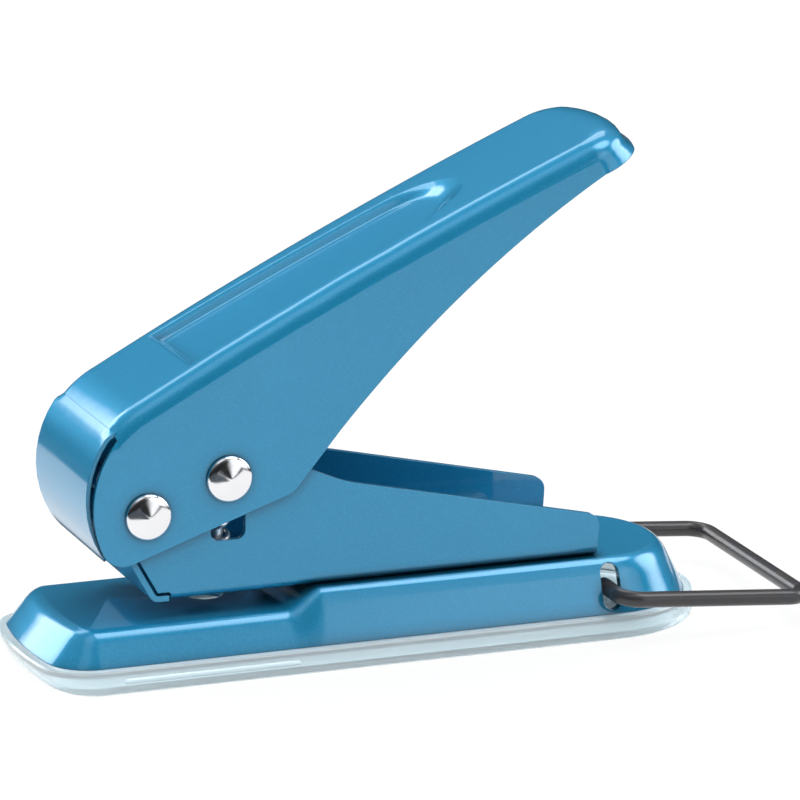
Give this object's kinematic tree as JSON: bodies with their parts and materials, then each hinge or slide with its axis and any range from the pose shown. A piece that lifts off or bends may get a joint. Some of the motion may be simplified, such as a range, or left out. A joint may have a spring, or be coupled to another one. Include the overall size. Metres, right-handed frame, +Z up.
{
  "type": "single hole punch",
  "caption": "Lever-action paper punch with a pressed base on a clear chip tray, a channel frame, a sprung punch and a wire bail that locks the handle down.",
  "frame": {"origin": "middle of the chip tray's length and width, on the surface it stands on", "axes": "+X from the paper mouth towards the bail and the handle's tip, +Z up, +Y across the punch"},
  "size_m": [0.1236, 0.0424, 0.079],
  "materials": {
    "handle_paint": "gloss",
    "base_paint": "gloss",
    "frame_paint": "gloss",
    "rivet_chrome": "polished",
    "steel": "satin",
    "black_wire": "satin",
    "clear_plastic": "clear"
  },
  "bodies": {
    "base": {"base": "base_paint", "frame": "frame_paint", "fix_rivet_front": "steel", "fix_rivet_rear": "steel"},
    "handle": {"handle": "handle_paint", "pivot_rivet": "rivet_chrome", "drive_rivet": "rivet_chrome"},
    "punch": {"punch_pin": "steel", "return_spring": "steel"},
    "bail": {"lock_bail": "black_wire"},
    "tray": {"chip_tray": "clear_plastic"}
  },
  "joints": [
    {"name": "handle_pivot", "type": "hinge", "parent": "base", "child": "handle", "pos_m": [-0.0379, 0, 0.026], "axis": [0, 1, 0], "range_deg": [0, 33], "stiffness_Nm_per_rad": 0.2, "springref_deg": -28.65},
    {"name": "punch_slide", "type": "slide", "parent": "base", "child": "punch", "axis": [0, 0, -1], "range_m": [0, 0.00772], "deforming": ["return_spring"]},
    {"name": "bail_hinge", "type": "hinge", "parent": "base", "child": "bail", "pos_m": [0.0365, 0, 0.0073], "axis": [0, -1, 0], "range_deg": [0, 65]},
    {"name": "tray_release", "type": "slide", "parent": "base", "child": "tray", "axis": [0, 0, -1], "range_m": [0, 0.01]}
  ],
  "couplings": [
    {"joint": "punch_slide", "follows": "handle_pivot", "m_per_rad": 0.013385}
  ]
}
